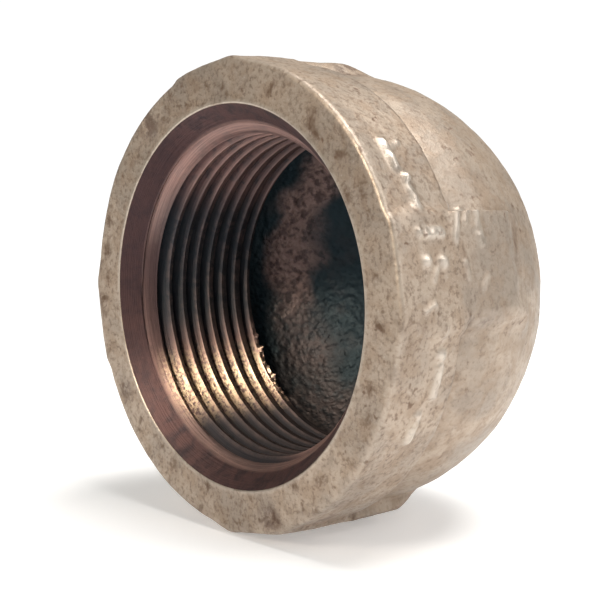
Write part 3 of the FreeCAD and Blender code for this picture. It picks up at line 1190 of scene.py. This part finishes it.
@dataclass
class Casting:
    """The iron casting, with its countersink, its thread and the walls of its chamber."""

    form: Form
    thread: Thread
    columns: int = 576
    sharp_angle: float = 27.0
    rounding: float = 0.02
    chatter: float = 0.012
    burr_height: float = 0.55
    burr_length: float = 0.9
    burrs: Sector = Sector(217.0, 9.0, 22.0)
    # Sectors of painted shade at the left and of darkening towards the bottom.
    shade_left: Sector = Sector(172.0, 16.0, 42.0)
    dark_below: Sector = Sector(258.0, 20.0, 38.0)
    # Sectors of painted shade on the countersink and the lead cone.
    flare_shade: Sector = Sector(165.0, 34.0, 62.0)
    lead_shade: Sector = Sector(186.0, 16.0, 38.0)
    # The sector of the painted glint.
    glint_sector: Sector = Sector(221.0, 2.0, 20.0)
    flare_end: tuple[float, float] = (2.2, 2.5)
    lead_fade: tuple[float, float] = (3.6, 4.4)
    crest_fade: tuple[float, float] = (0.02, 0.4)
    crest_start: tuple[float, float] = (2.2, 3.4)
    glint_start: tuple[float, float] = (2.2, 4.0)
    dark_zone_start: tuple[float, float] = (1.5, 5.0)
    deep_shade: tuple[float, float] = (8.0, 18.0)

    def bore_radius(self, angle: Array, along: Array) -> Array:
        """The machined wall: the cones or the bore, or the groove where it lies deeper."""
        wall = self.form.countersink(along)
        groove = self.thread.radius(angle, along)
        return soft_max(wall, groove, self.rounding)

    def bore_points(self, angle: Array, along: Array) -> Array:
        """The machined wall with its chatter, and with burrs where the thread ends.

        Args:
            angle: angles round the axis, in radians.
            along: distances behind the mouth face.

        Returns:
            Points: the wall's radius, plus two fields of small lumps, less the burrs.
        """
        angle, along = np.broadcast_arrays(angle, along)
        radius = self.bore_radius(angle, along)
        place = polar(radius, along, angle)
        torn = Lumps(31, 1.1, 40).at(place * np.array([1.0, 2.5, 1.0]))
        wave = Lumps(32, 6.0).at(place)
        end = self.form.thread_end
        burred = self.burrs.at(angle) * smooth_step(along, end - self.burr_length, end)
        burr = burred * np.maximum(Lumps(33, 0.8, 40).at(place) + 0.15, 0.0) * self.burr_height
        return polar(radius + self.chatter * torn + self.chatter * wave - burr, along, angle)

    def add_bore(self, shell: Shell, angle: Array) -> tuple[Array, Array]:
        """Add the threaded bore and the countersink, from the chamber to the mouth.

        Args:
            shell: the mesh.
            angle: the columns' angles.

        Returns:
            The numbers of the rings at the chamber and at the mouth.
        """
        form, thread = self.form, self.thread
        front, back = form.flare_depth, form.thread_end
        depth = thread.rows(angle, front, back, form.bore_radius)
        depth = np.clip(depth, front, back)
        numbers = shell.add(self.bore_points(angle[None, :], depth))
        turn = thread.rows_in_turn
        closing = numbers[turn:, :1]
        whole = np.concatenate([numbers[:-turn], closing], axis=1)
        quads = np.stack([whole[:-1, :-1], whole[1:, :-1], whole[1:, 1:], whole[:-1, 1:]], axis=-1)
        shell.faces.append(quads.reshape(-1, 4))
        ends = self.bore_points(angle[None, :], np.array([[back], [front]]))
        deep, lead = shell.add(ends)
        cones = np.linspace(front, form.coat, 13)[:, None]
        rows = shell.add(self.bore_points(angle[None, :], cones))
        shell.grid(rows)
        return deep, rows[-1]

    def build(self, outside: Array) -> bpy.types.Object:
        """Make the closed casting.

        Args:
            outside: the coarse surface under the zinc, from the mouth to near the pole.

        Returns:
            The object.
        """
        form = self.form
        angle = even_angles(self.columns)
        shell = Shell()
        rows = form.chamber_rows()[::-1]
        chamber = shell.add(polar(rows[:, :1], rows[:, 1:], angle[None, ::COARSE_STEP]))
        shell.pole(chamber[0], form.pole(form.wall), outward=False)
        shell.grid(chamber)
        deep, lip = self.add_bore(shell, angle)
        shell.reduce(deep, chamber[-1], fine_first=False)
        cover = shell.add(outside[1:])
        shell.grid(cover)
        tip = float(outside[-1, :, 1].mean())
        shell.pole(cover[-1], np.array([0.0, tip, 0.0]), outward=True)
        self.join_lip(shell, lip, cover[0], angle, outside)
        made = shell.build("iron_casting", merge=1e-5)
        made.data.set_sharp_from_angle(angle=math.radians(self.sharp_angle))
        self.measure(made)
        return made

    def join_lip(self, shell: Shell, lip: Array, cover: Array, angle: Array,
                 outside: Array) -> None:
        """Join the countersink's fine edge to the covered face's first ring.

        The two rings have different columns, so triangles zip them together: each step
        round either ring, in the order of their angles, adds one.

        Args:
            shell: the mesh.
            lip: the numbers of the countersink's last ring.
            cover: the numbers of the covered face's first ring.
            angle: the lip's angles.
            outside: the coarse surface, for the angles of its columns.
        """
        other = np.mod(np.arctan2(outside[1, :, 2], outside[1, :, 0]), 2.0 * math.pi)
        order = np.argsort(np.concatenate([angle, other]), kind="stable")
        on_lip = order < len(angle)
        lip_now = lip[(np.cumsum(on_lip) - 1) % len(angle)]
        cover_now = cover[(np.cumsum(~on_lip) - 1) % len(other)]
        before = [np.roll(lip_now, 1), np.roll(cover_now, 1)]
        shell.faces.append(np.stack([*before, lip_now], axis=-1)[on_lip])
        shell.faces.append(np.stack([*before, cover_now], axis=-1)[~on_lip])

    def measure(self, made: bpy.types.Object) -> None:
        """Store how much each point gets of the crests' painted highlight, of oil and painted
        shade, of the cones' darker brown painted shade, and of the painted glint.

        A crest fades with the distance from the drilled wall, and the other three with
        the angle round the axis and the depth behind the mouth face.

        Args:
            made: the casting.
        """
        points = np.empty(len(made.data.vertices) * 3, dtype=np.float32)
        made.data.vertices.foreach_get("co", points)
        across, along, up = (points.reshape(-1, 3).astype(float) / MILLIMETRE).T
        radius, angle = np.hypot(across, up), np.arctan2(up, across)
        past_flare = smooth_step(along, *self.flare_end)
        lead = past_flare * (1.0 - smooth_step(along, *self.lead_fade))
        # Painted highlight on the crests and the lead cone.
        crest = 1.0 - smooth_step(radius - self.form.bore_radius, *self.crest_fade)
        crest = np.maximum(crest * smooth_step(along, *self.crest_start), lead)
        # Painted shade: the countersink cone darker brown, most of all at the left.
        flare = (1.0 - past_flare) * (0.4 + 0.4 * self.flare_shade.at(angle))
        # Painted glint, low on the left of the thread.
        painted_glint = self.glint_sector.at(angle) * smooth_step(along, *self.glint_start)
        # Painted shade at the left of the bore, and darker towards the bottom.
        oil_and_shade = np.maximum(0.9 * self.shade_left.at(angle), 0.8 * self.dark_below.at(angle))
        oil_and_shade = oil_and_shade * smooth_step(along, *self.dark_zone_start)
        # Painted shade that deepens with the depth into the bore.
        deep = 0.35 * smooth_step(along, *self.deep_shade)
        set_attribute(made, "crest", crest)
        set_attribute(made, "oil_and_shade", np.maximum(oil_and_shade, deep) * (1.0 - painted_glint))
        set_attribute(made, "brown", np.maximum(flare, 0.8 * lead * self.lead_shade.at(angle)))
        set_attribute(made, "painted_glint", painted_glint)


@dataclass
class ChamberSkin:
    """The rough zinc on the walls of the chamber behind the thread."""

    form: Form
    columns: int = 576
    counts: tuple[int, int] = (84, 30)
    ledge_width: float = 1.15
    lump_height: float = 0.085
    dent_height: float = 0.1
    highest: float = 0.6

    def rough_rows(self, angle: Array) -> tuple[Array, Array]:
        """The seen side: one coat off the iron, and roughened by lumps that only add to it.

        Args:
            angle: the columns' angles.

        Returns:
            The smooth surface and the rough one, from the pole to the ledge by the bore.
        """
        form = self.form
        level = form.thread_end + form.coat
        seen = form.dome_rows(form.wall + form.coat, self.counts)
        begin = float(np.interp(level, seen[:, 1], seen[:, 0]))
        ledge = run((form.bore_radius + self.ledge_width, level), (begin, level), 8)
        rows = np.concatenate([ledge, [[begin, level]], seen[seen[:, 1] > level + 0.2]])[::-1]
        smooth = polar(rows[:, :1], rows[:, 1:], angle[None, :])
        lumps = 0.4 * Lumps(21, 1.9, 48).at(smooth) + 0.6 * Lumps(22, 0.9, 60).at(smooth)
        dents = Lumps(23, 7.0).at(smooth)
        rise = self.lump_height * (1.0 + lumps) + self.dent_height * (1.0 + dents)
        rise = np.clip(rise, 0.0, self.highest)
        rough = smooth + grid_normals(smooth) * rise[..., None]
        rough[-1] = smooth[-1]
        return smooth, rough

    def painted_light(self, smooth: Array) -> Array:
        """How much painted light each point gets: a ragged band round the dome, faint below."""
        depth = smooth[..., 1] + 0.9 * Lumps(24, 5.0).at(smooth)
        zone = smooth_step(depth, 23.0, 26.0) * (1.0 - smooth_step(depth, 27.4, 30.4))
        # Painted shade: the lit band fades towards the bottom.
        zone *= 0.25 + 0.75 * smooth_step(smooth[..., 2], -9.0, 1.0)
        # A faint painted glint low in the chamber.
        low = 1.0 - smooth_step(smooth[..., 2], -17.0, -13.0)
        return np.maximum(zone, 0.35 * low)

    def build(self) -> bpy.types.Object:
        """Make the closed skin: coarse against the iron, rough on the side that is seen.

        Returns:
            The object.
        """
        form = self.form
        angle = even_angles(self.columns)
        corner = [[form.bore_radius + self.ledge_width, form.thread_end]]
        rows = np.concatenate([corner, form.chamber_rows()])
        shell = Shell()
        against = shell.add(polar(rows[:, :1], rows[:, 1:], angle[None, ::COARSE_STEP]))
        shell.grid(against)
        shell.pole(against[-1], form.pole(form.wall), outward=True)
        smooth, rough = self.rough_rows(angle)
        fine = shell.add(rough)
        tip = float(rough[0, :, 1].mean())
        shell.pole(fine[0], np.array([0.0, tip, 0.0]), outward=False)
        shell.grid(fine)
        shell.reduce(fine[-1], against[0], fine_first=True)
        made = shell.build("chamber_skin")
        whole = np.zeros(shell.count)
        whole[fine.reshape(-1)] = self.painted_light(smooth).reshape(-1)
        set_attribute(made, "painted_light", whole)
        return made


# ---------------------------------------------------------------- light and view


@dataclass(frozen=True)
class Lamp:
    """One soft area light: where it stands, its size in metres, its power and its colour.

    It may be kept out of reflections, or light nothing but reflections.
    """

    name: str
    place: tuple[float, float, float]
    aim: tuple[float, float, float]
    width: float
    height: float
    power: float
    colour: tuple[float, float, float] = (1.0, 1.0, 1.0)
    mirrored: bool = True
    lit: bool = True

    def make(self) -> None:
        """Put the light in the scene, turned towards what it lights."""
        data = bpy.data.lights.new(self.name, "AREA")
        data.shape = "RECTANGLE"
        data.size, data.size_y = self.width, self.height
        data.energy = self.power
        data.color = self.colour
        lamp = bpy.data.objects.new(self.name, data)
        lamp.location = self.place
        turn = (Vector(self.aim) - Vector(self.place)).to_track_quat("-Z", "Y")
        lamp.rotation_mode = "QUATERNION"
        lamp.rotation_quaternion = turn
        lamp.visible_glossy = self.mirrored
        lamp.visible_diffuse = self.lit
        bpy.context.scene.collection.objects.link(lamp)


LAMPS = (
    Lamp("overhead", (0.10, 0.08, 0.45), (0.0, 0.015, 0.0), 0.30, 0.25, 2.65, (1.0, 0.975, 0.94)),
    Lamp("front", (-0.01, -0.45, 0.22), (0.0, 0.0, 0.0), 0.12, 0.10, 0.6, (1.0, 0.9, 0.78)),
    Lamp("glint", (0.12, -0.375, 0.30), (0.0, 0.0, 0.0), 0.08, 0.08, 2.3, (1.0, 0.88, 0.7),
         lit=False),
    Lamp("fill", (-0.25, -0.35, 0.10), (0.0, 0.0, 0.0), 0.3, 0.3, 0.3, (1.0, 0.94, 0.86),
         mirrored=False),
    Lamp("behind", (0.40, 0.22, 0.28), (0.0, 0.02, 0.0), 0.25, 0.3, 0.95),
)


@dataclass(frozen=True)
class Studio:
    """The pale floor, the white surroundings, the lamps and the camera."""

    azimuth: float = 48.074
    elevation: float = 5.480
    roll: float = 0.099
    distance: float = 0.1477
    aside: float = 0.00833
    above: float = -0.000185
    lens: float = 76.612
    floor_glow: float = 0.3
    room_seen: float = 1.05
    room_light: float = 0.16

    def floor(self, level: float) -> bpy.types.Object:
        """A pale board at the given height, a grid that dips slightly at its far edges.

        It reaches far behind the cap and stops a little way in front of the mouth.
        """
        side, front, back = 2.0, -0.20, 3.0
        across, along = np.meshgrid(np.linspace(-side, side, 41), np.linspace(front, back, 41))
        fall = -0.002 * smooth_step(np.hypot(across, along), 1.0, 3.0)
        points = np.stack([across, along, level + fall], axis=-1)
        numbers = np.arange(points.size // 3).reshape(across.shape)
        quads = np.stack(
            [numbers[:-1, :-1], numbers[:-1, 1:], numbers[1:, 1:], numbers[1:, :-1]], axis=-1
        )
        made = mesh_object("studio_floor", points.reshape(-1, 3), [quads.reshape(-1, 4)])
        graph = Graph("pale_floor")
        cloud = graph.noise(400.0, 2.0)
        colour = graph.mix((0.93, 0.93, 0.93), (0.95, 0.95, 0.95), cloud)
        material = graph.finish(colour, 0.9, 0.0, graph.bump(cloud, 0.05))
        split = graph.node("ShaderNodeSeparateXYZ", {}, {0: graph.place})
        east, north = (Signal(graph, split.outputs[axis]) for axis in (0, 1))
        away = ((east**2.0 + north**2.0) ** 0.5).rise(180.0, 600.0)
        near = (self.floor_glow,) * 3
        glow = graph.mix(near, (1.0, 1.0, 1.0), away)
        graph.tree.links.new(glow, graph.shader.inputs["Emission Color"])
        graph.shader.inputs["Emission Strength"].default_value = 1.0
        made.data.materials.append(material)
        return made

    def world(self) -> None:
        """White surroundings: full white where seen, softer where they light the cap."""
        world = bpy.data.worlds.new("white_room")
        world.use_nodes = True
        tree = world.node_tree
        tree.nodes.clear()
        seen = tree.nodes.new("ShaderNodeBackground")
        lit = tree.nodes.new("ShaderNodeBackground")
        seen.inputs["Strength"].default_value = self.room_seen
        seen.inputs["Color"].default_value = (1.0, 1.0, 1.0, 1.0)
        lit.inputs["Strength"].default_value = self.room_light
        lit.inputs["Color"].default_value = (0.86, 0.96, 1.0, 1.0)
        path = tree.nodes.new("ShaderNodeLightPath")
        either = tree.nodes.new("ShaderNodeMixShader")
        output = tree.nodes.new("ShaderNodeOutputWorld")
        tree.links.new(path.outputs["Is Camera Ray"], either.inputs[0])
        tree.links.new(lit.outputs[0], either.inputs[1])
        tree.links.new(seen.outputs[0], either.inputs[2])
        tree.links.new(either.outputs[0], output.inputs[0])
        bpy.context.scene.world = world

    def camera(self) -> None:
        """The camera, standing off the mouth's centre and looking level with its own axes."""
        turn, rise = math.radians(self.azimuth), math.radians(self.elevation)
        sin_turn, cos_turn, sin_rise, cos_rise = (
            math.sin(turn), math.cos(turn), math.sin(rise), math.cos(rise)
        )
        back = Vector((sin_turn * cos_rise, -cos_turn * cos_rise, sin_rise))
        right = Vector((cos_turn, sin_turn, 0.0))
        up = Vector((-sin_turn * sin_rise, cos_turn * sin_rise, cos_rise))
        place = back * self.distance + right * self.aside + up * self.above
        tilt = Matrix.Rotation(math.radians(self.roll), 3, back)
        axes = Matrix((tilt @ right, tilt @ up, back)).transposed()
        data = bpy.data.cameras.new("camera")
        data.lens = self.lens
        data.sensor_width = 36.0
        data.clip_start = 0.005
        data.clip_end = 50.0
        view = bpy.data.objects.new("camera", data)
        view.matrix_world = Matrix.Translation(place) @ axes.to_4x4()
        bpy.context.scene.collection.objects.link(view)
        bpy.context.scene.camera = view

    def set_up(self, level: float) -> None:
        """Lay the floor and place the surroundings, the lamps and the camera."""
        self.floor(level)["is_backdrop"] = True
        self.world()
        for lamp in LAMPS:
            lamp.make()
        self.camera()
        bpy.context.scene.view_settings.view_transform = "Standard"


# ---------------------------------------------------------------- assembly


@dataclass
class PipeCap:
    """The whole cap: its casting and the zinc on its outside and in its chamber."""

    form: Form = field(default_factory=Form)
    thread: Thread = field(default_factory=Thread)

    def place(self, piece: bpy.types.Object, finish: bpy.types.Material, node: str,
              slot: str) -> None:
        """Dress a piece and tie it to the part that it stands for.

        Args:
            piece: the object.
            finish: its material.
            node: the CAD node it replaces.
            slot: the record's material slot; not used.
        """
        piece.data.materials.append(finish)
        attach(piece, "root")
        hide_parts(node)
        count = sum(len(face.vertices) - 2 for face in piece.data.polygons)
        LOG.info("%s: %d triangles", piece.name, count)

    def build(self) -> None:
        """Build and dress the pieces, the zinc first because the casting fills it."""
        low, high = (np.array(corner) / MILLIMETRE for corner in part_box("zinc_coat_outside"))
        skin, inner = OutsideSkin(self.form).build((low, high))
        self.place(skin, ZincFinish().make(), "zinc_coat_outside", "zinc")
        casting = Casting(self.form, self.thread).build(inner)
        self.place(casting, MachinedIronFinish().make(), "cap_casting", "cast_iron")
        chamber = ChamberSkin(self.form).build()
        self.place(chamber, ChamberFinish().make(), "zinc_coat_chamber", "chamber_zinc")


def main() -> None:
    """Build the cap around the frame, then its studio."""
    logging.basicConfig(level=logging.INFO, format="%(name)s: %(message)s")
    cad_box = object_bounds()
    PipeCap().build()
    Studio().set_up(cad_box[0].z)


if __name__ == "__main__":
    main()
